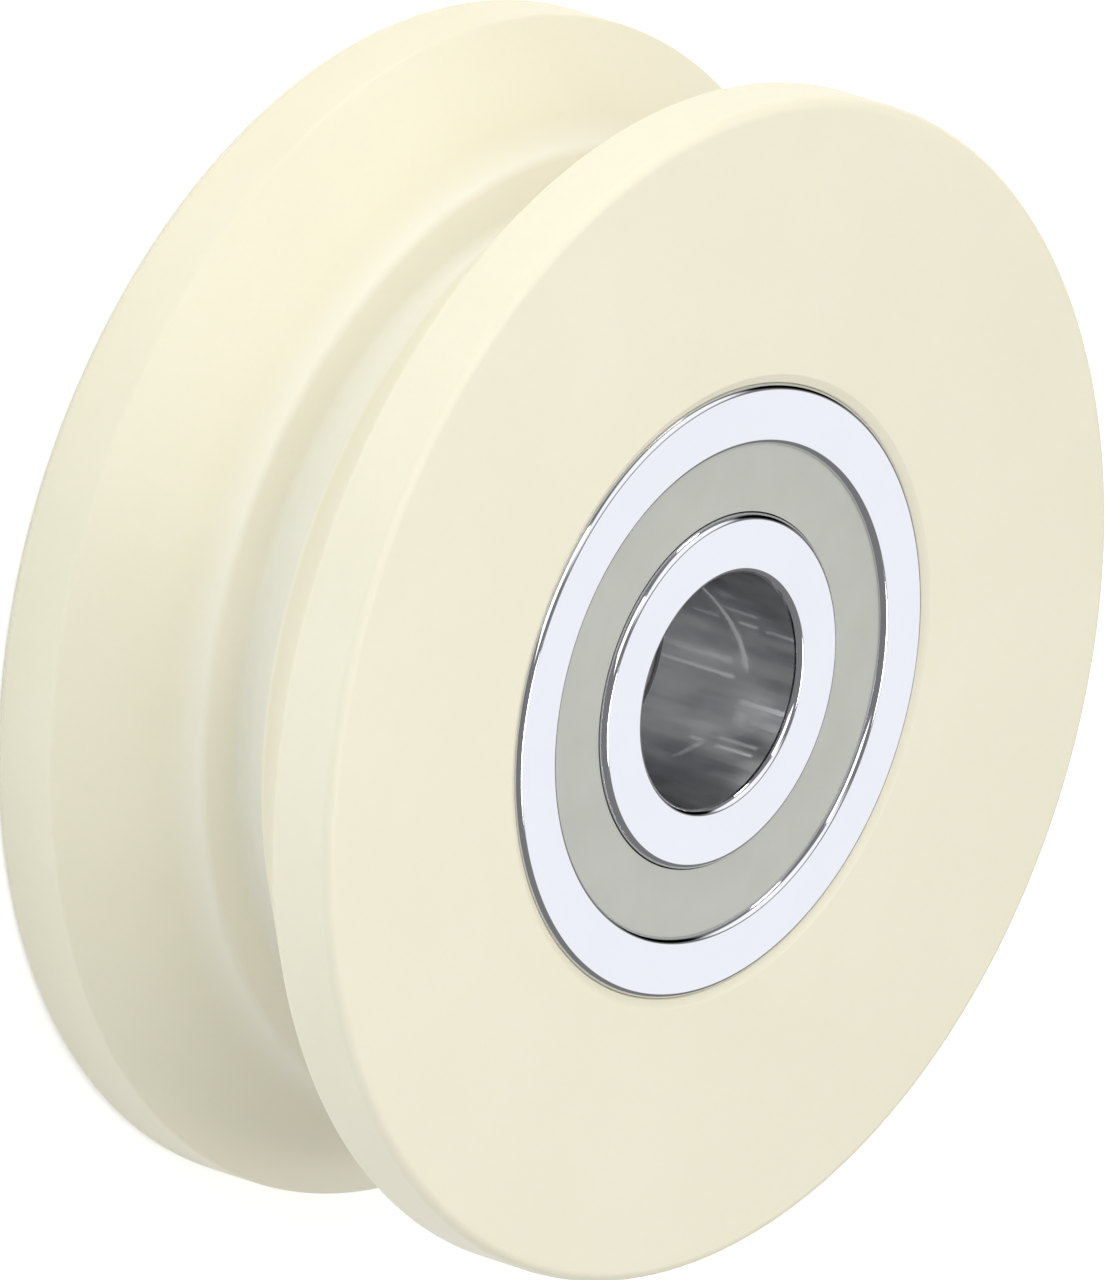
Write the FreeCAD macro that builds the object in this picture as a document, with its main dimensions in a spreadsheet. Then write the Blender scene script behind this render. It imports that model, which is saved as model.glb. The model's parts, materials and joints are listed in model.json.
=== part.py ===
import FreeCAD, Part
import os
import re
import Sketcher

# A rail wheel of cast nylon with two flanges, turning on two sealed deep-groove ball bearings. The axle runs
# along +Z through the origin at the wheel's centre. The front is the +Z side. Lengths are in millimetres.

SIZES = {
    # Wheel body
    "flange_diameter": 100,
    "rim_width": 5.9,
    "tread_diameter": 72.5,
    "tread_width": 6.1,
    "lip_height": 4.75,
    "edge_radius": 0.9,
    "rim_radius": 0.5,
    "lip_radius": 1.2,
    "root_radius": 1.25,
    "seat_chamfer": 0.8,
    "seat_chamfer_depth": 0.4,
    "shoulder_width": 5.6,
    "shoulder_height": 4,
    # Bearing rings
    "bearing_bore": 20,
    "bearing_outer": 52,
    "bearing_width": 15,
    "ring_corner": 0.6,
    "inner_land_drop": 2.95,
    "outer_land_rise": 2.825,
    # Balls and raceways
    "ball_diameter": 9.525,
    "ball_count": 7,
    "pitch_diameter": 36,
    "race_conformity": 0.52,
    "race_clearance": 0.015,
    # Seals
    "seal_thickness": 0.8,
    "seal_cage_gap": 0.67,
    "seal_step": 0.25,
    "bead_width": 0.95,
    "bead_depth": 0.6,
    "seal_clearance": 0.1,
    # Ball cages
    "cage_sheet": 0.6,
    "pocket_clearance": 0.12,
    "cage_side_gap": 0.9,
    "rivet_diameter": 1.4,
    "rivet_head_diameter": 2.6,
    "rivet_head_height": 0.6,
    "rivet_head_edge": 0.25,
    # Spacer sleeve
    "sleeve_clearance": 0.15,
    "sleeve_wall": 3.2,
    "sleeve_chamfer": 0.3,
}

# Sizes that follow from the driving ones, as formulas for the document
HALF_WIDTH = "(bearing_width + shoulder_width / 2)"
LIP_RADIUS = "(tread_diameter / 2 + lip_height)"
SHOULDER_RADIUS = "(bearing_outer / 2 - shoulder_height)"
INNER_LAND = "(pitch_diameter / 2 - inner_land_drop)"
OUTER_LAND = "(pitch_diameter / 2 + outer_land_rise)"
RACE_RADIUS = "(race_conformity * ball_diameter)"
RACE_REACH = "(ball_diameter / 2 + race_clearance)"
OUTER_RACE_CENTRE = f"(pitch_diameter / 2 + {RACE_REACH} - {RACE_RADIUS})"
INNER_RACE_CENTRE = f"(pitch_diameter / 2 - {RACE_REACH} + {RACE_RADIUS})"
POCKET_RADIUS = "(ball_diameter / 2 + pocket_clearance)"
DOME_RADIUS = f"({POCKET_RADIUS} + cage_sheet)"
CAGE_OUTER = f"({OUTER_LAND} - cage_side_gap)"
CAGE_INNER = f"(pitch_diameter - {CAGE_OUTER})"
# Depths of the seal below the bearing's face: it stands just clear of the cage
SEAL_BACK = f"(bearing_width / 2 - {DOME_RADIUS} - seal_cage_gap)"
SEAL_FRONT = f"({SEAL_BACK} - seal_thickness)"
BEAD_START = f"({SEAL_FRONT} + seal_step)"
BEAD_END = f"({BEAD_START} + bead_width)"
BEAD_RADIUS = f"({OUTER_LAND} + bead_depth)"
LIP_CORNER = f"min(ring_corner; 0.8 * {BEAD_START})"
SLEEVE_INNER = "(bearing_bore / 2 + sleeve_clearance)"
SLEEVE_OUTER = f"({SLEEVE_INNER} + sleeve_wall)"

# The two bearings: the height of each one's lower face, and which of its ends looks out of the wheel
BEARINGS = {
    "front": {"base": "shoulder_width / 2", "outboard_end": "top"},
    "rear": {"base": "-shoulder_width / 2 - bearing_width", "outboard_end": "bottom"},
}

# How near an edge lies to the corner that it is looked up by
EDGE_TOLERANCE = 1e-4

doc = FreeCAD.newDocument("double_flanged_wheel")
sheet = doc.addObject("Spreadsheet::Sheet", "Sizes")
subparts = []


def fill_sheet():
    """Write every driving size into the spreadsheet, one aliased cell each."""
    for row, (alias, number) in enumerate(SIZES.items(), start=1):
        sheet.set(f"A{row}", alias)
        sheet.set(f"B{row}", str(number))
        sheet.setAlias(f"B{row}", alias)
    doc.recompute()


def bound(formula):
    """The formula with every size's name pointing at its cell in the sheet."""
    return re.sub(r"[a-z_]+", lambda word: f"Sizes.{word[0]}" if word[0] in SIZES else word[0], formula)


def value(formula):
    """The formula's present value."""
    return float(sheet.evalExpression(bound(formula)))


def new_body(label, base="0"):
    """An empty body, standing on the axle at the given height, that becomes one sub-part."""
    body = doc.addObject("PartDesign::Body", label)
    body.Label = label
    body.setExpression("Placement.Base.z", bound(base))
    subparts.append(body)
    return body


def origin_feature(body, role):
    """One of the body's own origin planes or axes."""
    return next(feature for feature in body.Origin.OriginFeatures if feature.Role == role)


def new_sketch(body, name, plane):
    """An empty sketch on one of the body's origin planes."""
    sketch = body.newObject("Sketcher::SketchObject", name)
    sketch.AttachmentSupport = (origin_feature(body, plane), [""])
    sketch.MapMode = "FlatFace"
    return sketch


def dimension(sketch, constraint, formula):
    """Add a constraint whose size follows the formula."""
    index = sketch.addConstraint(Sketcher.Constraint(*constraint, value(formula)))
    sketch.setExpression(f"Constraints[{index}]", bound(formula))


def section(body, name, corners):
    """A closed half section, straight from each (radius, height) corner to the next."""
    sketch = new_sketch(body, name, "XZ_Plane")
    points = [FreeCAD.Vector(value(radius), value(height), 0) for radius, height in corners]
    for start, end in zip(points, points[1:] + points[:1]):
        sketch.addGeometry(Part.LineSegment(start, end))
    for index, (radius, height) in enumerate(corners):
        before = (index - 1) % len(corners)
        sketch.addConstraint(Sketcher.Constraint("Coincident", before, 2, index, 1))
        dimension(sketch, ("DistanceX", -1, 1, index, 1), radius)
        dimension(sketch, ("DistanceY", -1, 1, index, 1), height)
    return sketch


def circle(body, name, plane, across, along, radius):
    """A sketch of one circle, its centre given along the sketch's two axes."""
    sketch = new_sketch(body, name, plane)
    centre = FreeCAD.Vector(value(across), value(along), 0)
    sketch.addGeometry(Part.Circle(centre, FreeCAD.Vector(0, 0, 1), value(radius)))
    dimension(sketch, ("DistanceX", -1, 1, 0, 3), across)
    dimension(sketch, ("DistanceY", -1, 1, 0, 3), along)
    dimension(sketch, ("Radius", 0), radius)
    return sketch


def turned(body, kind, name, sketch, axis="V_Axis"):
    """Turn a sketch a full circle about one of its lines, to add (Revolution) or cut away (Groove)."""
    feature = body.newObject(f"PartDesign::{kind}", name)
    feature.Profile = sketch
    feature.ReferenceAxis = (sketch, [axis])
    feature.Angle = 360
    doc.recompute()
    return feature


def round_edges(feature, corners):
    """The names of the feature's round edges at the given (radius, height) corners."""
    names = []
    for radius, height in corners:
        spot = FreeCAD.Vector(value(radius), value(height), 0)
        for number, edge in enumerate(feature.Shape.Edges, start=1):
            if edge.Curve.TypeId != "Part::GeomCircle":
                continue
            edge_spot = FreeCAD.Vector(edge.Curve.Radius, edge.Curve.Center.z, 0)
            if edge_spot.distanceToPoint(spot) < EDGE_TOLERANCE:
                names.append(f"Edge{number}")
    return names


def dressed(body, kind, name, feature, corners, size):
    """Fillet or chamfer the feature's round edges at the given corners."""
    edges = round_edges(feature, corners)
    dress = body.newObject(f"PartDesign::{kind}", name)
    dress.Base = (feature, edges)
    dress.setExpression("Radius" if kind == "Fillet" else "Size", bound(size))
    doc.recompute()
    return dress


def repeated(body, name, originals):
    """Repeat features once for each ball, round the axle."""
    pattern = body.newObject("PartDesign::PolarPattern", name)
    pattern.Originals = originals
    pattern.Axis = (origin_feature(body, "Z_Axis"), [""])
    pattern.Angle = 360
    pattern.setExpression("Occurrences", bound("ball_count"))
    body.Tip = pattern
    doc.recompute()
    return pattern


def cut_checked(before, after):
    """The cut feature, once it is sure that it took something away."""
    if after.Shape.Volume >= before.Shape.Volume:
        raise RuntimeError(f"{after.Label} cut nothing")
    return after


def both_ends(radius, height):
    """The same corner above and below the middle."""
    return [(radius, height), (radius, f"-{height}")]


def make_wheel_body():
    """The wheel: flanges with sloping lead-ins, a narrow tread, and a chamfered bearing seat in each side."""
    body = new_body("wheel_body")
    outline = [
        (SHOULDER_RADIUS, "shoulder_width / 2"),
        ("bearing_outer / 2", "shoulder_width / 2"),
        ("bearing_outer / 2", f"({HALF_WIDTH} - seat_chamfer_depth)"),
        ("(bearing_outer / 2 + seat_chamfer)", HALF_WIDTH),
        ("flange_diameter / 2", HALF_WIDTH),
        ("flange_diameter / 2", f"({HALF_WIDTH} - rim_width)"),
        (LIP_RADIUS, "tread_width / 2"),
        ("tread_diameter / 2", "tread_width / 2"),
    ]
    mirrored = [(radius, f"-{height}") for radius, height in reversed(outline)]
    wheel = turned(body, "Revolution", "wheel_turning", section(body, "wheel_section", outline + mirrored))
    edges = both_ends("flange_diameter / 2", HALF_WIDTH)
    wheel = dressed(body, "Fillet", "flange_edges", wheel, edges, "edge_radius")
    rims = both_ends("flange_diameter / 2", f"({HALF_WIDTH} - rim_width)")
    wheel = dressed(body, "Fillet", "rim_edges", wheel, rims, "rim_radius")
    lips = both_ends(LIP_RADIUS, "tread_width / 2")
    wheel = dressed(body, "Fillet", "groove_lips", wheel, lips, "lip_radius")
    roots = both_ends("tread_diameter / 2", "tread_width / 2")
    dressed(body, "Fillet", "tread_roots", wheel, roots, "root_radius")


def make_spacer_sleeve():
    """The sleeve that keeps the two inner rings apart when an axle bolt clamps them."""
    body = new_body("spacer_sleeve")
    top = "shoulder_width / 2"
    corners = both_ends(SLEEVE_INNER, top) + both_ends(SLEEVE_OUTER, top)[::-1]
    sleeve = turned(body, "Revolution", "sleeve_turning", section(body, "sleeve_section", corners))
    dressed(body, "Chamfer", "sleeve_edges", sleeve, corners, "sleeve_chamfer")


def make_outer_ring(bearing, base):
    """The ring pressed into the wheel, with a groove behind each inner edge that holds a seal's bead."""
    body = new_body(f"{bearing}_outer_ring", base)
    faces = [
        (OUTER_LAND, "0"),
        ("bearing_outer / 2", "0"),
        ("bearing_outer / 2", "bearing_width"),
        (OUTER_LAND, "bearing_width"),
    ]
    bottom_seat = [
        (OUTER_LAND, BEAD_END),
        (BEAD_RADIUS, BEAD_END),
        (BEAD_RADIUS, BEAD_START),
        (OUTER_LAND, BEAD_START),
    ]
    top_seat = [(radius, f"bearing_width - {height}") for radius, height in reversed(bottom_seat)]
    blank = section(body, f"{bearing}_outer_section", faces + top_seat + bottom_seat)
    ring = turned(body, "Revolution", f"{bearing}_outer_blank", blank)
    outside = faces[1:3]
    ring = dressed(body, "Fillet", f"{bearing}_outer_corners", ring, outside, "ring_corner")
    inside = faces[0::3]
    ring = dressed(body, "Fillet", f"{bearing}_lip_corners", ring, inside, LIP_CORNER)
    cut_raceway(body, f"{bearing}_outer_race", ring, OUTER_RACE_CENTRE)


def make_inner_ring(bearing, base):
    """The ring that stays still on the axle."""
    body = new_body(f"{bearing}_inner_ring", base)
    corners = [
        ("bearing_bore / 2", "0"),
        (INNER_LAND, "0"),
        (INNER_LAND, "bearing_width"),
        ("bearing_bore / 2", "bearing_width"),
    ]
    blank = section(body, f"{bearing}_inner_section", corners)
    ring = turned(body, "Revolution", f"{bearing}_inner_blank", blank)
    ring = dressed(body, "Fillet", f"{bearing}_inner_corners", ring, corners, "ring_corner")
    cut_raceway(body, f"{bearing}_inner_race", ring, INNER_RACE_CENTRE)


def cut_raceway(body, name, ring, centre):
    """Grind the balls' groove into a ring: an arc a little larger than a ball, half way up."""
    profile = circle(body, f"{name}_circle", "XZ_Plane", centre, "bearing_width / 2", RACE_RADIUS)
    cut_checked(ring, turned(body, "Groove", name, profile))


def make_seal(bearing, side, end, base):
    """A flat seal, snapped into the outer ring at its bead, with a lip that thins towards the inner ring."""
    body = new_body(f"{bearing}_{side}_seal", base)
    lip = f"({INNER_LAND} + seal_clearance)"
    corners = [
        (lip, SEAL_FRONT),
        (OUTER_LAND, SEAL_FRONT),
        (OUTER_LAND, BEAD_START),
        (BEAD_RADIUS, BEAD_START),
        (BEAD_RADIUS, BEAD_END),
        (f"({OUTER_LAND} - bead_depth)", BEAD_END),
        (f"({OUTER_LAND} - bead_depth)", SEAL_BACK),
        (f"({lip} + seal_thickness)", SEAL_BACK),
        (lip, f"({SEAL_FRONT} + seal_thickness / 2)"),
    ]
    if end == "top":
        corners = [(radius, f"bearing_width - {depth}") for radius, depth in corners]
    turned(body, "Revolution", f"{bearing}_{side}_ring", section(body, f"{bearing}_{side}_section", corners))


def sphere(body, kind, name, radius):
    """Add or cut a sphere at the first ball's place."""
    feature = body.newObject(f"PartDesign::{kind}", name)
    feature.setExpression("Radius", bound(radius))
    feature.setExpression("Placement.Base.x", bound("pitch_diameter / 2"))
    return feature


def make_cage_half(bearing, side, end, middle):
    """One pressed half of the cage: a flat ring, domed over each ball, pierced for a rivet between balls."""
    label = f"{bearing}_cage_{side}_half"
    body = new_body(label, middle)
    if end == "bottom":
        body.Placement.Rotation = FreeCAD.Rotation(FreeCAD.Vector(1, 0, 0), 180)
    bottom = [(CAGE_INNER, "0"), (CAGE_OUTER, "0")]
    top = [(CAGE_OUTER, "cage_sheet"), (CAGE_INNER, "cage_sheet")]
    turned(body, "Revolution", f"{label}_flat", section(body, f"{label}_section", bottom + top))

    dome = sphere(body, "AdditiveSphere", f"{label}_dome", DOME_RADIUS)
    dome.Angle1 = 0
    doc.recompute()
    domes = repeated(body, f"{label}_domes", [dome])

    # The strip is cut to its width before pressing, so the domes end where the flat ring does.
    past_dome = f"(pitch_diameter / 2 + 2 * {DOME_RADIUS})"
    over_dome = f"(2 * {DOME_RADIUS})"
    strip = domes
    for trim, near, far in (("outer_trim", CAGE_OUTER, past_dome), ("inner_trim", "0", CAGE_INNER)):
        corners = [(near, "-cage_sheet"), (far, "-cage_sheet"), (far, over_dome), (near, over_dome)]
        trim_section = section(body, f"{label}_{trim}_section", corners)
        strip = cut_checked(strip, turned(body, "Groove", f"{label}_{trim}", trim_section))

    pocket = sphere(body, "SubtractiveSphere", f"{label}_pocket", POCKET_RADIUS)
    doc.recompute()
    repeated(body, f"{label}_pockets", [pocket])

    across = "pitch_diameter / 2 * cos(180 / ball_count)"
    along = "pitch_diameter / 2 * sin(180 / ball_count)"
    hole = body.newObject("PartDesign::Pocket", f"{label}_hole")
    hole.Profile = circle(body, f"{label}_hole_circle", "XY_Plane", across, along, "rivet_diameter / 2")
    hole.Midplane = True
    hole.setExpression("Length", bound("4 * cage_sheet"))
    doc.recompute()
    repeated(body, f"{label}_holes", [hole])


def make_cage_rivets(bearing, middle):
    """The rivets that close the two cage halves, one between each pair of balls."""
    body = new_body(f"{bearing}_cage_rivets", middle)
    axis = "pitch_diameter / 2"
    shank = f"({axis} + rivet_diameter / 2)"
    head = f"({axis} + rivet_head_diameter / 2)"
    upper = [
        (shank, "cage_sheet"),
        (head, "cage_sheet"),
        (head, "(cage_sheet + rivet_head_edge)"),
        (shank, "(cage_sheet + rivet_head_height)"),
        (axis, "(cage_sheet + rivet_head_height)"),
    ]
    lower = [(radius, f"-{height}") for radius, height in reversed(upper)]
    profile = section(body, f"{bearing}_rivet_section", upper + lower)
    axis_line = f"Edge{len(upper)}"
    rivet = turned(body, "Revolution", f"{bearing}_rivet", profile, axis_line)
    repeated(body, f"{bearing}_rivets", [rivet])
    body.setExpression("Placement.Rotation.Angle", bound("180 / ball_count"))


def make_balls(bearing, middle):
    """The balls, evenly spaced on the pitch circle."""
    for number in range(round(value("ball_count"))):
        ball = doc.addObject("Part::Sphere", f"{bearing}_ball_{number + 1}")
        ball.Label = f"{bearing}_ball_{number + 1}"
        angle = f"({number} * 360 / ball_count)"
        ball.setExpression("Radius", bound("ball_diameter / 2"))
        ball.setExpression("Placement.Base.x", bound(f"pitch_diameter / 2 * cos{angle}"))
        ball.setExpression("Placement.Base.y", bound(f"pitch_diameter / 2 * sin{angle}"))
        ball.setExpression("Placement.Base.z", bound(middle))
        subparts.append(ball)


def make_bearing(bearing, base, outboard_end):
    """One sealed deep-groove ball bearing."""
    middle = f"{base} + bearing_width / 2"
    make_outer_ring(bearing, base)
    make_inner_ring(bearing, base)
    for end in ("top", "bottom"):
        side = "outboard" if end == outboard_end else "inboard"
        make_seal(bearing, side, end, base)
        make_cage_half(bearing, side, end, middle)
    make_cage_rivets(bearing, middle)
    make_balls(bearing, middle)


def check_document():
    """Stop if any object failed to compute or any sub-part is not a valid solid."""
    for item in doc.Objects:
        if "Invalid" in item.State or "Error" in item.State:
            raise RuntimeError(f"{item.Label} failed: {item.State}")
    for item in subparts:
        if item.Shape.isNull() or not item.Shape.isValid() or not item.Shape.Solids:
            raise RuntimeError(f"{item.Label} is not a valid solid")


def write_steps():
    """One STEP file for each sub-part, named by its label."""
    os.makedirs("parts", exist_ok=True)
    for item in subparts:
        item.Shape.exportStep(f"parts/{item.Label}.step")


fill_sheet()
make_wheel_body()
make_spacer_sleeve()
for bearing_name, place in BEARINGS.items():
    make_bearing(bearing_name, place["base"], place["outboard_end"])
doc.recompute()
check_document()
write_steps()
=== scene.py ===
import json
import math
from collections import namedtuple

import bpy
from mathutils import Matrix, Vector


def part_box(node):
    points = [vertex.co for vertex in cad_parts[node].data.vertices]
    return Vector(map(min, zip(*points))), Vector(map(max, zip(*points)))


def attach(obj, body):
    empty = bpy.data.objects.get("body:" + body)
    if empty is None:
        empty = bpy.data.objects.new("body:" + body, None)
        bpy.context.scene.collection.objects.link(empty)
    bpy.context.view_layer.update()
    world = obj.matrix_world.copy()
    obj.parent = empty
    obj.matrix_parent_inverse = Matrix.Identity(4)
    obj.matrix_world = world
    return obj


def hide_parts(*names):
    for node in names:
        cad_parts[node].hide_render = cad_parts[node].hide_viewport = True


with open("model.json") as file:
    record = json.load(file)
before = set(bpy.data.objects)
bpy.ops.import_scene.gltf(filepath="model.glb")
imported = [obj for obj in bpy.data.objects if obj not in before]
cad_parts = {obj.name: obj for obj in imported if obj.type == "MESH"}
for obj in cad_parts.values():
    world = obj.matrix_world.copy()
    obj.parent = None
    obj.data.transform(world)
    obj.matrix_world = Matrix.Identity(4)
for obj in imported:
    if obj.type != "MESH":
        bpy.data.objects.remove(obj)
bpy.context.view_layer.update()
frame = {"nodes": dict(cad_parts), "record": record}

# A cast nylon rail wheel on two sealed ball bearings. It lies on its rear face with its axle along +Z,
# and the front is the +Z side. Lengths are in metres.

MM = 0.001
mounts = {mount["name"]: mount for mount in frame["record"]["mounts"]}


def reach(node):
    """How far a node reaches from the axle."""
    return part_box(node)[1].x


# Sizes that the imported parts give
FLANGE_RADIUS = reach("wheel_body")
HALF_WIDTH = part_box("wheel_body")[1].z
TREAD_RADIUS = mounts["rail_groove"]["pos_m"][0]
SEAT_RADIUS = reach("front_outer_ring")
SHOULDER_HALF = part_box("front_outer_ring")[0].z
INNER_LAND = reach("front_inner_ring")
BORE_RADIUS = mounts["axle_bore"]["dims"]["r_mm"] * MM
BEAD_RADIUS = reach("front_outboard_seal")
SEAL_DEPTH = HALF_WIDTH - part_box("front_outboard_seal")[1].z
BEAD_END = HALF_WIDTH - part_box("front_outboard_seal")[0].z
SLEEVE_RADIUS = reach("spacer_sleeve")
PITCH_RADIUS = (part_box("front_ball_1")[0].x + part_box("front_ball_1")[1].x) / 2
BALL_RADIUS = (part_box("front_ball_1")[1].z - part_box("front_ball_1")[0].z) / 2

# Sizes inside the sections, as the solids have them
RIM_WIDTH = 5.9 * MM
TREAD_HALF = 3.05 * MM
LIP_RADIUS = TREAD_RADIUS + 4.75 * MM
EDGE_ROUNDING = 0.9 * MM
RIM_ROUNDING = 0.5 * MM
LIP_ROUNDING = 1.2 * MM
ROOT_ROUNDING = 1.25 * MM
BROKEN_EDGE = 0.25 * MM
SEAT_CHAMFER = 0.8 * MM
SEAT_CHAMFER_DEPTH = 0.4 * MM
SHOULDER_RADIUS = SEAT_RADIUS - 4 * MM
RING_CORNER = 0.6 * MM
OUTER_LAND = PITCH_RADIUS + 2.825 * MM
RACE_RADIUS = 1.04 * BALL_RADIUS
RACE_REACH = BALL_RADIUS + 0.015 * MM
RACE_MIDDLE = (SHOULDER_HALF + HALF_WIDTH) / 2
BEAD_START = SEAL_DEPTH + 0.25 * MM
LIP_CORNER = min(RING_CORNER, 0.8 * BEAD_START)
SEAL_SHEET = 0.8 * MM
SEAL_LIP = INNER_LAND + 0.1 * MM
SLEEVE_BORE = BORE_RADIUS + 0.15 * MM
SLEEVE_CHAMFER = 0.3 * MM

# Pale streaks along the bore, partly scratches and partly painted reflections of bright streaks: where each
# lies round it and its half width, in degrees, its two ends in bore radii from the wheel's middle, and its
# strength. Then the curved streak across them, also partly painted reflection: how fast it drops away round
# the bore, its half width, and for each run the height of its top, its ends in degrees and its strength.
BORE_MARKS_AND_GLINTS = [
    (-51, 4.0, 0.95, 1.12, 0.4),
    (-42, 1.5, 0.95, 1.35, 0.5),
    (-36, 1.3, 0.65, 0.92, 0.6),
    (-36, 1.4, 1.14, 1.34, 0.75),
    (-35.5, 1.6, 1.42, 1.74, 0.4),
    (-29, 6.0, 0.35, 0.8, 0.6),
    (-15.5, 2.2, 0.28, 1.06, 0.75),
    (-8.5, 1.6, 0.28, 1.12, 1.0),
    (1.5, 2.6, 1.24, 1.74, 0.8),
    (3, 14.0, 1.3, 1.7, 0.5),
    (9, 5.5, 1.28, 1.34, 1.0),
    (9, 4.0, 1.4, 1.74, 0.5),
    (21, 1.5, 1.2, 1.6, 0.5),
    (25.5, 1.4, 1.22, 1.6, 0.75),
    (25, 1.4, 0.94, 1.06, 0.6),
]
CROSS_MARK_BEND = 0.59
CROSS_MARK_WIDTH = 0.05
CROSS_MARK_RUNS = [(1.26, -60, -14, 0.95), (1.19, 25, 38, 0.45)]

# Shades of the nylon, the seals, the bore and the floor, from dark to light
CREAM = [(0.852, 0.808, 0.638), (0.878, 0.836, 0.67)]
# The paler cream is painted light, laid in the groove's hollow to lift its shade
PAINTED_LIGHT_CREAM = [(0.975, 0.946, 0.836), (0.988, 0.962, 0.86)]
SEAL_GREY = [(0.505, 0.512, 0.47), (0.535, 0.542, 0.5)]
BORE_SHADES = [(0.42, 0.425, 0.44), (0.9, 0.91, 0.935), (0.97, 0.975, 0.99)]
FLOOR_WHITE = [(0.95, 0.95, 0.95), (0.96, 0.96, 0.96)]

# Each steel's colour, its least and greatest roughness, the spacing and the depth of its tool lines, and how
# far they stretch what it mirrors
STEELS = {
    "ring_face": ((0.69, 0.705, 0.765), 0.12, 0.18, 0.09 * MM, 0.001 * MM, 0.2),
    "ring_edge": ((0.69, 0.7, 0.74), 0.05, 0.09, 0.12 * MM, 0.0005 * MM, 0),
    # Lands beside the seals are steel painted darker: painted shade of the narrow gaps there
    "painted_shade_land": ((0.5, 0.51, 0.54), 0.14, 0.24, 0.15 * MM, 0.002 * MM, 0),
    # Dark steel painted where an edge would mirror a lamp: painted shade
    "painted_dark": ((0.24, 0.242, 0.25), 0.4, 0.55, 0.2 * MM, 0.003 * MM, 0),
    "ball": ((0.8, 0.81, 0.83), 0.04, 0.08, 0.3 * MM, 0.0004 * MM, 0),
    "cage": ((0.62, 0.61, 0.58), 0.24, 0.38, 0.2 * MM, 0.003 * MM, 0),
    "sleeve": ((0.66, 0.67, 0.69), 0.2, 0.34, 0.18 * MM, 0.004 * MM, 0.4),
}

# The photograph's view of the wheel: how far its circles are squeezed, how far the picture is turned about
# the line of sight, the height that it covers at the wheel's centre and how far left of that its middle lies.
# Then a long lens and its sensor, in millimetres.
CIRCLE_RATIO = 0.595
PICTURE_TURN = math.radians(107.4)
PICTURE_HEIGHT = 105.1 * MM
PICTURE_SHIFT = 0.16 * MM
LENS = 1300
SENSOR = 36

# The studio: its dim level, and two bright windows and a dark corner, each with its direction, half angle
# and level; how softly they end, and how much the floor glows where it is looked at
MIRRORED_VIEW = (0, math.cos(math.asin(CIRCLE_RATIO)), CIRCLE_RATIO)
DIM_LEVEL = 0.25
WINDOWS = [
    (MIRRORED_VIEW, math.radians(10), 1.25),
    ((-0.6, 0.15, 0.79), math.radians(23), 1.35),
    ((-0.62, 0.72, 0.3), math.radians(12), 0.0),
]
WINDOW_EDGE = math.radians(8)
FLOOR_GLOW = 0.35
FLOOR_REACH = 40 * FLANGE_RADIUS

# The lamps, each on a bearing round the axle and a rise above the floor, in degrees. The level is how bright
# a lamp makes a white surface that faces it, and mirrored says if steel shows the lamp itself.
Lamp = namedtuple("Lamp", "name bearing rise distance size level colour mirrored")
LAMPS = [
    Lamp("key", -112, 50, 0.5, 0.3, 0.285, (1.0, 0.985, 0.95), True),
    Lamp("soft", 5, 58, 1.0, 1.6, 0.345, (0.96, 0.98, 1.0), False),
    Lamp("back", 70, 65, 1.0, 0.2, 0.135, (1.0, 0.99, 0.96), True),
    Lamp("left", -172, 8, 0.6, 0.18, 0.235, (1.0, 0.975, 0.9), True),
    Lamp("front", -76, 8, 0.6, 0.18, 0.196, (0.83, 0.925, 1.0), False),
]

WHEEL_SEGMENTS = 360
RING_SEGMENTS = 240
ARC_STEP = math.radians(8)


# Turned pieces

# A corner of a section with the rounding's size, and the edge that leaves it: its finish, and the centre that
# it curves about if it isn't straight. The last is the rounding's finish. Material is on a section's right.
Corner = namedtuple(
    "Corner", "radius height rounding finish centre rounded", defaults=(0, "plain", None, "plain"),
)

# One stretch of a section with the surface's outward direction at each of its points
Strip = namedtuple("Strip", "points normals finish")


def left_of(direction):
    return Vector((-direction.y, direction.x))


def arc_strip(centre, start, end, faces_centre, finish):
    """An arc the short way round from start to end."""
    first = start - centre
    turn = first.angle_signed(end - centre) * -1
    steps = max(2, math.ceil(abs(turn) / ARC_STEP))
    arms = [Matrix.Rotation(turn * step / steps, 2) @ first for step in range(steps + 1)]
    side = -1 if faces_centre else 1
    return Strip([centre + arm for arm in arms], [side * arm.normalized() for arm in arms], finish)


def corner_strip(point, before, after, rounding, finish):
    """The rounding of one corner, which ends where its two edges begin."""
    back = (before - point).normalized()
    ahead = (after - point).normalized()
    half_angle = back.angle(ahead) / 2
    cut = rounding / math.tan(half_angle)
    centre = point + (back + ahead).normalized() * rounding / math.sin(half_angle)
    start = point + back * cut
    faces_centre = left_of(-back).dot(start - centre) < 0
    return arc_strip(centre, start, point + ahead * cut, faces_centre, finish)


def section(corners):
    """The strips round a closed section."""
    points = [Vector((corner.radius, corner.height)) for corner in corners]
    count = len(corners)
    roundings = []
    for index, corner in enumerate(corners):
        rounded = None
        if corner.rounding:
            neighbours = points[index - 1], points[(index + 1) % count]
            rounded = corner_strip(points[index], *neighbours, corner.rounding, corner.rounded)
        roundings.append(rounded)
    strips = []
    for index, corner in enumerate(corners):
        following = (index + 1) % count
        start, end = points[index], points[following]
        if roundings[index]:
            strips.append(roundings[index])
            start = roundings[index].points[-1]
        if roundings[following]:
            end = roundings[following].points[0]
        if corner.centre:
            strips.append(arc_strip(Vector(corner.centre), start, end, True, corner.finish))
        else:
            normal = left_of((end - start).normalized())
            strips.append(Strip([start, end], [normal, normal], corner.finish))
    return strips


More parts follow.
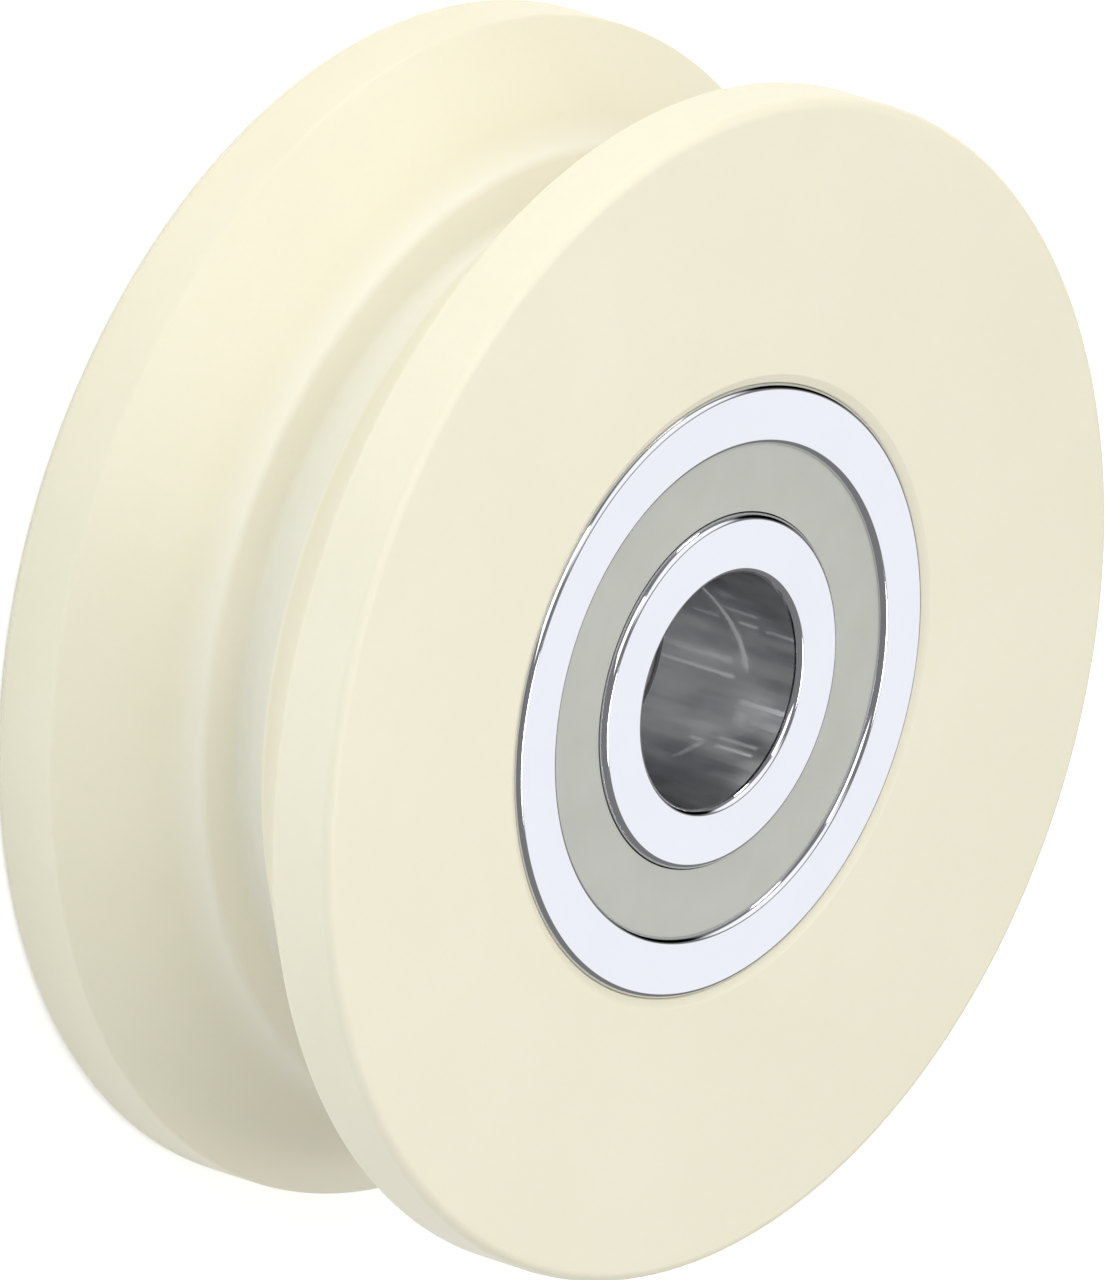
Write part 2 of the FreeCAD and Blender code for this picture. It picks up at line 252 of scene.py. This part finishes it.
def flipped(corners):
    """The same section on the wheel's other side."""
    edges = [(corner.finish, corner.centre) for corner in corners]
    turned = []
    for index in range(len(corners) - 1, -1, -1):
        finish, centre = edges[index - 1]
        mirrored = (centre[0], -centre[1]) if centre else None
        corner = corners[index]
        turned.append(corner._replace(height=-corner.height, finish=finish, centre=mirrored))
    return turned


def turned_piece(name, strips, segments, finishes, body, replaced):
    """A section turned about the axle, with true normals, and a map that unrolls it into one sheet."""
    rings = []
    spans = []
    distance = 0
    for strip in strips:
        for index in range(len(strip.points) - 1):
            start, end = strip.points[index:index + 2]
            first, last = strip.normals[index:index + 2]
            far = distance + (end - start).length
            rings.append(start)
            spans.append((first, last, distance, far, strip.finish))
            distance = far
    turns = [2 * math.pi * segment / segments for segment in range(segments + 1)]
    arms = [(math.cos(turn), math.sin(turn)) for turn in turns]
    vertices = [(ring.x * across, ring.x * along, ring.y) for ring in rings for across, along in arms[:-1]]
    finish_names = list(finishes)
    faces = []
    normals = []
    places = []
    slots = []
    for index, (first, last, low, high, finish) in enumerate(spans):
        here = index * segments
        there = (index + 1) % len(spans) * segments
        for segment in range(segments):
            following = (segment + 1) % segments
            faces.append((here + segment, there + segment, there + following, here + following))
            slots.append(finish_names.index(finish))
            near_edge = [(first, segment, low), (last, segment, high)]
            far_edge = [(last, segment + 1, high), (first, segment + 1, low)]
            for normal, turn, along in near_edge + far_edge:
                across, up = arms[turn]
                normals.append((normal.x * across, normal.x * up, normal.y))
                places.extend((turn / segments, along / distance))
    mesh = bpy.data.meshes.new(name)
    mesh.from_pydata(vertices, [], faces)
    for finish in finish_names:
        mesh.materials.append(finishes[finish])
    mesh.polygons.foreach_set("material_index", slots)
    mesh.shade_smooth()
    mesh.uv_layers.new(name="OFBake").data.foreach_set("uv", places)
    mesh.normals_split_custom_set(normals)
    piece = bpy.data.objects.new(name, mesh)
    bpy.context.scene.collection.objects.link(piece)
    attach(piece, body)
    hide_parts(replaced)


# Materials

class Graph:
    """A node tree, with short ways to add to it."""

    def __init__(self, tree):
        self.tree = tree
        tree.nodes.clear()

    def add(self, kind, inputs=None, **settings):
        """A node with its settings, and its inputs set to values or joined to sockets."""
        made = self.tree.nodes.new(kind)
        for name, setting in settings.items():
            setattr(made, name, setting)
        for key, given in (inputs or {}).items():
            if isinstance(given, bpy.types.NodeSocket):
                self.tree.links.new(given, made.inputs[key])
            else:
                made.inputs[key].default_value = given
        return made

    def maths(self, operation, *values):
        """The result of one sum."""
        return self.add("ShaderNodeMath", dict(enumerate(values)), operation=operation).outputs[0]

    def ranged(self, given, low, high, to_low, to_high, smooth=False):
        """A value moved from one range to another and held within it."""
        inputs = {"Value": given, "From Min": low, "From Max": high, "To Min": to_low, "To Max": to_high}
        kind = "SMOOTHSTEP" if smooth else "LINEAR"
        return self.add("ShaderNodeMapRange", inputs, interpolation_type=kind).outputs[0]

    def vector(self, x, y, z):
        return self.add("ShaderNodeCombineXYZ", {"X": x, "Y": y, "Z": z}).outputs[0]

    def parts(self, vector):
        """The three parts of a vector."""
        return self.add("ShaderNodeSeparateXYZ", {0: vector}).outputs[:3]

    def noise(self, vector, scale, detail=2, w=None):
        """Smooth noise from 0 to 1."""
        inputs = {"Vector": vector, "Scale": scale, "Detail": detail}
        if w is None:
            return self.add("ShaderNodeTexNoise", inputs).outputs[0]
        inputs["W"] = w
        return self.add("ShaderNodeTexNoise", inputs, noise_dimensions="4D").outputs[0]

    def colours(self, factor, *stops):
        """A colour that runs through the stops, each a position and a colour."""
        ramp = self.add("ShaderNodeValToRGB", {"Fac": factor})
        elements = ramp.color_ramp.elements
        while len(elements) < len(stops):
            elements.new(1)
        for element, (position, colour) in zip(elements, stops):
            element.position = position
            element.color = (*colour, 1)
        return ramp.outputs[0]

    def mottled(self, tone, shades):
        """The darker of two shades where the tone is low, and the lighter where it is high."""
        darker, lighter = shades
        return self.colours(tone, (0.3, darker), (0.7, lighter))

    def place(self):
        """Where a point of the piece is, in the piece's own frame."""
        return self.add("ShaderNodeTexCoord").outputs["Object"]

    def round_axle(self):
        """A point's distance from the axle, its height, and the two parts of its direction round the axle."""
        x, y, height = self.parts(self.place())
        square = self.maths("ADD", self.maths("MULTIPLY", x, x), self.maths("MULTIPLY", y, y))
        radius = self.maths("SQRT", square)
        return radius, height, self.maths("DIVIDE", x, radius), self.maths("DIVIDE", y, radius)

    def tool_lines(self, pitch, drift):
        """Noise drawn out round the axle, as a turning or grinding tool leaves it."""
        radius, height, across, along = self.round_axle()
        scale = 1 / pitch
        spot = self.vector(
            self.maths("MULTIPLY", across, drift),
            self.maths("MULTIPLY", along, drift),
            self.maths("MULTIPLY", radius, scale),
        )
        return self.noise(spot, 1, 3, self.maths("MULTIPLY", height, scale))

    def bump(self, height, depth, strength):
        """A surface direction disturbed by a height of that depth."""
        inputs = {"Height": height, "Distance": depth, "Strength": strength}
        return self.add("ShaderNodeBump", inputs).outputs[0]


def new_material(name, even):
    """A material's graph and its shader, with the shader's even values set."""
    material = bpy.data.materials.new(name)
    material.use_nodes = True
    graph = Graph(material.node_tree)
    shader = graph.add("ShaderNodeBsdfPrincipled", even)
    graph.add("ShaderNodeOutputMaterial", {"Surface": shader.outputs[0]})
    return material, graph, shader


def join(graph, shader, **sockets):
    """Join sockets that vary over the surface to the shader's inputs, with _ for a space in their names."""
    for name, socket in sockets.items():
        graph.tree.links.new(socket, shader.inputs[name.replace("_", " ")])


def nylon_material():
    """Natural cast nylon: creamy, and paler in the groove's hollow, where the lighter colour is painted light
    that lifts the groove's shade. It is faintly mottled, with the lathe's fine lines under a satin skin."""
    even = {
        "IOR": 1.53,
        "Subsurface Weight": 0.12,
        "Subsurface Radius": (1.0, 0.85, 0.6),
        "Subsurface Scale": 1.2 * MM,
    }
    material, graph, shader = new_material("nylon", even)
    place = graph.place()
    cloud = graph.noise(place, scale=55, detail=3)
    speck = graph.noise(place, scale=2600)
    tone = graph.maths("ADD", graph.maths("MULTIPLY", cloud, 0.8), graph.maths("MULTIPLY", speck, 0.2))
    radius, height = graph.round_axle()[:2]
    # Where the groove gets painted light: near the tread, between the two lips
    low = graph.ranged(radius, LIP_RADIUS, LIP_RADIUS + 3 * LIP_ROUNDING, 1, 0, smooth=True)
    inside = graph.ranged(graph.maths("ABSOLUTE", height), SHOULDER_HALF, 2 * SHOULDER_HALF, 1, 0)
    painted_groove_light = graph.maths("MULTIPLY", low, inside)
    shades = {"Factor": painted_groove_light, "A": graph.mottled(tone, CREAM), "B": graph.mottled(tone, PAINTED_LIGHT_CREAM)}
    shade = graph.add("ShaderNodeMix", shades, data_type="RGBA")
    lines = graph.tool_lines(pitch=0.22 * MM, drift=0.6)
    rough = graph.ranged(graph.maths("ADD", lines, cloud), 0.6, 1.4, 0.4, 0.52)
    normal = graph.bump(lines, depth=0.012 * MM, strength=0.35)
    join(graph, shader, Base_Color=shade.outputs["Result"], Roughness=rough, Normal=normal)
    return material


def steel_material(name, colour, rough_low, rough_high, pitch, line_depth, anisotropy):
    """Bearing steel with the lines of the wheel that ground it."""
    material, graph, shader = new_material(name, {"Metallic": 1, "Anisotropic": anisotropy})
    lines = graph.tool_lines(pitch, drift=1.5)
    haze = graph.noise(graph.place(), scale=140, detail=3)
    rough = graph.ranged(graph.maths("ADD", lines, haze), 0.6, 1.4, rough_low, rough_high)
    darker = tuple(0.98 * part for part in colour)
    shade = graph.colours(haze, (0.35, darker), (0.65, colour))
    normal = graph.bump(lines, line_depth, strength=0.3)
    tangent = graph.add("ShaderNodeTangent", direction_type="RADIAL", axis="Z").outputs[0]
    join(graph, shader, Base_Color=shade, Roughness=rough, Normal=normal, Tangent=tangent)
    return material


def bore_material():
    """A ring's bore: smooth dark steel that the axle has rubbed in soft bands along it, with painted
    reflection that makes it lighter round its +Y side and darker away from it. Dull pale streaks run along it
    and a curved one crosses them, partly scratches and partly painted reflections."""
    material, graph, shader = new_material("bore", {})
    height, across, along = graph.round_axle()[1:]
    turn = graph.maths("ARCTAN2", across, along)
    depth = graph.maths("DIVIDE", graph.maths("ABSOLUTE", height), BORE_RADIUS)
    spot = graph.vector(turn, depth, 0)
    ragged = graph.noise(spot, scale=26)

    def mark(offset, half_width, run, low, high, strength):
        """A pale mark where the offset is small, from low to high along its run, with a ragged edge."""
        near = graph.maths("ABSOLUTE", offset)
        edge = graph.ranged(ragged, 0.3, 0.7, 0.7 * half_width, 1.3 * half_width)
        line = graph.ranged(near, 0.2 * half_width, edge, strength, 0, smooth=True)
        begun = graph.ranged(run, low - half_width, low + half_width, 0, 1, smooth=True)
        ended = graph.ranged(run, high - half_width, high + half_width, 1, 0, smooth=True)
        return graph.maths("MULTIPLY", line, graph.maths("MULTIPLY", begun, ended))

    # Pale streaks at the listed places, partly scratches and partly painted reflections
    marks_and_glints = 0
    for place, half_width, low, high, strength in BORE_MARKS_AND_GLINTS:
        offset = graph.maths("SUBTRACT", turn, math.radians(place))
        streak = mark(offset, math.radians(half_width), depth, low, high, strength)
        marks_and_glints = graph.maths("MAXIMUM", marks_and_glints, streak)
    bend = graph.maths("MULTIPLY", graph.maths("MULTIPLY", turn, turn), CROSS_MARK_BEND)
    for top, low, high, strength in CROSS_MARK_RUNS:
        offset = graph.maths("SUBTRACT", graph.maths("ADD", depth, bend), top)
        cross_mark_and_glint = mark(offset, CROSS_MARK_WIDTH, turn, math.radians(low), math.radians(high), strength)
        marks_and_glints = graph.maths("MAXIMUM", marks_and_glints, cross_mark_and_glint)

    def band(fine, coarse, seed):
        """Noise on the unrolled bore, drawn out along the axle."""
        side = graph.maths("MULTIPLY", turn, fine)
        way = graph.maths("MULTIPLY", depth, coarse)
        return graph.noise(graph.vector(side, way, seed), scale=1)

    bands = graph.maths("MULTIPLY", band(fine=2.6, coarse=1.4, seed=4.0), 0.6)
    streaks = graph.maths("MULTIPLY", band(fine=9, coarse=0.9, seed=9.0), 0.4)
    rubbed = graph.ranged(graph.maths("ADD", bands, streaks), 0.36, 0.64, 0.4, 1)
    # Painted reflection: lighter round the bore's +Y side, darker away from it
    painted_bright_side = graph.ranged(graph.maths("ABSOLUTE", turn), 0.4, 1.3, 1, 0, smooth=True)
    wear_and_painted_light = graph.maths("MAXIMUM", graph.maths("MULTIPLY", rubbed, painted_bright_side), marks_and_glints)
    dark, middle, light = BORE_SHADES
    shade = graph.colours(wear_and_painted_light, (0, dark), (0.7, middle), (1, light))
    rough = graph.ranged(wear_and_painted_light, 0, 1, 0.16, 0.75)
    metal = graph.maths("SUBTRACT", 1, marks_and_glints)
    normal = graph.bump(marks_and_glints, depth=0.04 * MM, strength=0.6)
    join(graph, shader, Base_Color=shade, Roughness=rough, Metallic=metal, Normal=normal)
    return material


def rubber_material():
    """Grey nitrile rubber with the fine grain of its mould."""
    material, graph, shader = new_material("seal_rubber", {"IOR": 1.5, "Specular IOR Level": 0.35})
    grain = graph.noise(graph.place(), scale=5200)
    cloud = graph.noise(graph.place(), scale=210, detail=3)
    shade = graph.mottled(cloud, SEAL_GREY)
    rough = graph.ranged(grain, 0.3, 0.7, 0.56, 0.7)
    normal = graph.bump(grain, depth=0.02 * MM, strength=0.3)
    join(graph, shader, Base_Color=shade, Roughness=rough, Normal=normal)
    return material


nylon = nylon_material()
steel = {name: steel_material(name, *look) for name, look in STEELS.items()}
bore_steel = bore_material()
rubber = rubber_material()


# The wheel

def wheel_corners():
    """The wheel's section from the middle of its shoulder bore, up its front and down its groove."""
    front = [
        Corner(SHOULDER_RADIUS, SHOULDER_HALF, BROKEN_EDGE),
        Corner(SEAT_RADIUS, SHOULDER_HALF),
        Corner(SEAT_RADIUS, HALF_WIDTH - SEAT_CHAMFER_DEPTH, BROKEN_EDGE),
        Corner(SEAT_RADIUS + SEAT_CHAMFER, HALF_WIDTH, BROKEN_EDGE),
        Corner(FLANGE_RADIUS, HALF_WIDTH, EDGE_ROUNDING),
        Corner(FLANGE_RADIUS, HALF_WIDTH - RIM_WIDTH, RIM_ROUNDING),
        Corner(LIP_RADIUS, TREAD_HALF, LIP_ROUNDING),
        Corner(TREAD_RADIUS, TREAD_HALF, ROOT_ROUNDING),
    ]
    return front + flipped(front)


turned_piece(
    "wheel", section(wheel_corners()), WHEEL_SEGMENTS, {"plain": nylon}, "wheel", "wheel_body",
)


# The bearings

def outer_ring_corners():
    """The front outer ring's section, with a groove behind each inner edge for a seal's bead."""
    low, high = SHOULDER_HALF, HALF_WIDTH
    race_centre = PITCH_RADIUS + RACE_REACH - RACE_RADIUS
    race_half = math.sqrt(RACE_RADIUS ** 2 - (OUTER_LAND - race_centre) ** 2)
    return [
        Corner(OUTER_LAND, low, LIP_CORNER, "painted_shade_land"),
        Corner(OUTER_LAND, low + BEAD_START),
        Corner(BEAD_RADIUS, low + BEAD_START),
        Corner(BEAD_RADIUS, low + BEAD_END),
        Corner(OUTER_LAND, low + BEAD_END),
        Corner(OUTER_LAND, RACE_MIDDLE - race_half, centre=(race_centre, RACE_MIDDLE)),
        Corner(OUTER_LAND, RACE_MIDDLE + race_half),
        Corner(OUTER_LAND, high - BEAD_END),
        Corner(BEAD_RADIUS, high - BEAD_END),
        Corner(BEAD_RADIUS, high - BEAD_START),
        Corner(OUTER_LAND, high - BEAD_START, finish="painted_shade_land"),
        Corner(OUTER_LAND, high, LIP_CORNER, "face"),
        Corner(SEAT_RADIUS, high, RING_CORNER),
        Corner(SEAT_RADIUS, low, RING_CORNER, "face"),
    ]


def inner_ring_corners():
    """The front inner ring's section."""
    low, high = SHOULDER_HALF, HALF_WIDTH
    race_centre = PITCH_RADIUS - RACE_REACH + RACE_RADIUS
    race_half = math.sqrt(RACE_RADIUS ** 2 - (race_centre - INNER_LAND) ** 2)
    return [
        # Its rounding at the inner end of the bore is painted dark: painted shade
        Corner(BORE_RADIUS, low, RING_CORNER, "bore", rounded="painted_dark"),
        Corner(BORE_RADIUS, high, RING_CORNER, "face"),
        Corner(INNER_LAND, high, RING_CORNER, "painted_shade_land"),
        Corner(INNER_LAND, RACE_MIDDLE + race_half, centre=(race_centre, RACE_MIDDLE)),
        Corner(INNER_LAND, RACE_MIDDLE - race_half, finish="painted_shade_land"),
        Corner(INNER_LAND, low, RING_CORNER, "face"),
    ]


def seal_corners(outboard):
    """A seal's section at the front bearing's outboard or inboard end."""
    bead_depth = BEAD_RADIUS - OUTER_LAND
    sheet_back = SEAL_DEPTH + SEAL_SHEET
    depths = [
        (SEAL_LIP, SEAL_DEPTH),
        (OUTER_LAND, SEAL_DEPTH),
        (OUTER_LAND, BEAD_START),
        (BEAD_RADIUS, BEAD_START),
        (BEAD_RADIUS, BEAD_END),
        (OUTER_LAND - bead_depth, BEAD_END),
        (OUTER_LAND - bead_depth, sheet_back),
        (SEAL_LIP + SEAL_SHEET, sheet_back),
        (SEAL_LIP, SEAL_DEPTH + SEAL_SHEET / 2),
    ]
    if outboard:
        return [Corner(radius, HALF_WIDTH - depth) for radius, depth in depths]
    return [Corner(radius, SHOULDER_HALF + depth) for radius, depth in reversed(depths)]


def sleeve_corners():
    """The spacer sleeve's section."""
    low, high = -SHOULDER_HALF, SHOULDER_HALF
    cut = SLEEVE_CHAMFER
    return [
        Corner(SLEEVE_BORE, low + cut),
        # Both chamfers into the sleeve's bore are painted dark: painted shade
        Corner(SLEEVE_BORE, high - cut, finish="painted_dark"),
        Corner(SLEEVE_BORE + cut, high),
        Corner(SLEEVE_RADIUS - cut, high),
        Corner(SLEEVE_RADIUS, high - cut),
        Corner(SLEEVE_RADIUS, low + cut),
        Corner(SLEEVE_RADIUS - cut, low),
        Corner(SLEEVE_BORE + cut, low, finish="painted_dark"),
    ]


# The lands beside the seals take the darker steel, which is painted shade
ring_finishes = {"plain": steel["ring_edge"], "face": steel["ring_face"], "painted_shade_land": steel["painted_shade_land"]}
bored_finishes = {**ring_finishes, "bore": bore_steel, "painted_dark": steel["painted_dark"]}
sleeve_finishes = {"plain": steel["sleeve"], "painted_dark": steel["painted_dark"]}
for bearing in ("front", "rear"):
    turned_rings = {
        "outer_ring": (outer_ring_corners(), "wheel", "ring_steel", ring_finishes),
        "inner_ring": (inner_ring_corners(), "hub", "ring_steel", bored_finishes),
        "outboard_seal": (seal_corners(True), "wheel", "seal_rubber", {"plain": rubber}),
        "inboard_seal": (seal_corners(False), "wheel", "seal_rubber", {"plain": rubber}),
    }
    for label, (corners, body, slot, finishes) in turned_rings.items():
        if bearing == "rear":
            corners = flipped(corners)
        node = f"{bearing}_{label}"
        turned_piece(f"{node}_turned", section(corners), RING_SEGMENTS, finishes, body, node)
turned_piece(
    "spacer_sleeve_turned", section(sleeve_corners()), RING_SEGMENTS, sleeve_finishes, "hub",
    "spacer_sleeve",
)

for name, node in frame["nodes"].items():
    for part in ("ball", "cage"):
        if part in name:
            for index in range(len(node.data.materials)):
                node.data.materials[index] = steel[part]


# Studio

def make_floor():
    """A plain white floor under the wheel. Where it is looked at, it also glows a little, so that only the
    wheel's own shadow is darker than white."""
    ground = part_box("wheel_body")[0].z
    corners = [(x * FLOOR_REACH, y * FLOOR_REACH, ground) for x, y in ((-1, -1), (1, -1), (1, 1), (-1, 1))]
    mesh = bpy.data.meshes.new("floor")
    mesh.from_pydata(corners, [], [(0, 1, 2, 3)])
    material, graph, shader = new_material("floor", {"Roughness": 0.9, "Specular IOR Level": 0.1})
    haze = graph.noise(graph.place(), scale=6)
    white = graph.mottled(haze, FLOOR_WHITE)
    rays = graph.add("ShaderNodeLightPath").outputs
    seen = graph.maths("MAXIMUM", rays["Is Camera Ray"], rays["Is Glossy Ray"])
    seen = graph.maths("MAXIMUM", seen, rays["Is Transmission Ray"])
    glow = graph.maths("MULTIPLY", seen, FLOOR_GLOW)
    shader.inputs["Emission Color"].default_value = (1, 1, 1, 1)
    join(graph, shader, Base_Color=white, Emission_Strength=glow)
    mesh.materials.append(material)
    floor = bpy.data.objects.new("floor", mesh)
    bpy.context.scene.collection.objects.link(floor)


def make_world():
    """A dim studio with two bright windows and a dark corner. The first window stands where the ring faces
    mirror it to the camera."""
    world = bpy.data.worlds.new("studio")
    bpy.context.scene.world = world
    world.use_nodes = True
    graph = Graph(world.node_tree)
    direction = graph.add("ShaderNodeTexCoord").outputs["Generated"]
    level = DIM_LEVEL
    for aim, spread, brightness in WINDOWS:
        centre = Vector(aim).normalized()
        toward = graph.add("ShaderNodeVectorMath", {0: direction, 1: centre}, operation="DOT_PRODUCT")
        inner, outer = math.cos(spread), math.cos(spread + WINDOW_EDGE)
        light = graph.ranged(toward.outputs["Value"], outer, inner, 0, brightness - DIM_LEVEL, smooth=True)
        level = graph.maths("ADD", light, level)
    background = graph.add("ShaderNodeBackground", {"Color": (1, 1, 1, 1), "Strength": level})
    graph.add("ShaderNodeOutputWorld", {"Surface": background.outputs[0]})


def make_lamp(lamp):
    """A square soft lamp that looks at the wheel."""
    data = bpy.data.lights.new(lamp.name, "AREA")
    data.size = lamp.size
    data.energy = lamp.level * (math.pi * lamp.distance) ** 2
    data.color = lamp.colour
    rise = math.radians(lamp.rise)
    turn = math.radians(lamp.bearing)
    aim = Vector((math.cos(rise) * math.cos(turn), math.cos(rise) * math.sin(turn), math.sin(rise)))
    made = bpy.data.objects.new(lamp.name, data)
    made.location = aim * lamp.distance
    made.rotation_mode = "QUATERNION"
    made.rotation_quaternion = aim.to_track_quat("Z", "Y")
    made.visible_glossy = lamp.mirrored
    bpy.context.scene.collection.objects.link(made)


def make_camera():
    """The photograph's viewpoint, far enough away to draw the wheel almost without perspective."""
    rise = math.asin(CIRCLE_RATIO)
    back = Vector((0, -math.cos(rise), math.sin(rise)))
    level_up = Vector((0, math.sin(rise), math.cos(rise)))
    level_right = Vector((1, 0, 0))
    right = math.cos(PICTURE_TURN) * level_right + math.sin(PICTURE_TURN) * level_up
    up = math.cos(PICTURE_TURN) * level_up - math.sin(PICTURE_TURN) * level_right
    data = bpy.data.cameras.new("camera")
    data.lens = LENS
    data.sensor_width = SENSOR
    distance = PICTURE_HEIGHT * LENS / SENSOR
    data.clip_start = distance / 10
    data.clip_end = distance * 3
    camera = bpy.data.objects.new("camera", data)
    turn = Matrix((right, up, back)).transposed()
    camera.matrix_world = Matrix.LocRotScale(back * distance - right * PICTURE_SHIFT, turn, None)
    bpy.context.scene.collection.objects.link(camera)
    bpy.context.scene.camera = camera


make_floor()
make_world()
for lamp in LAMPS:
    make_lamp(lamp)
make_camera()
bpy.context.scene.view_settings.view_transform = "Standard"
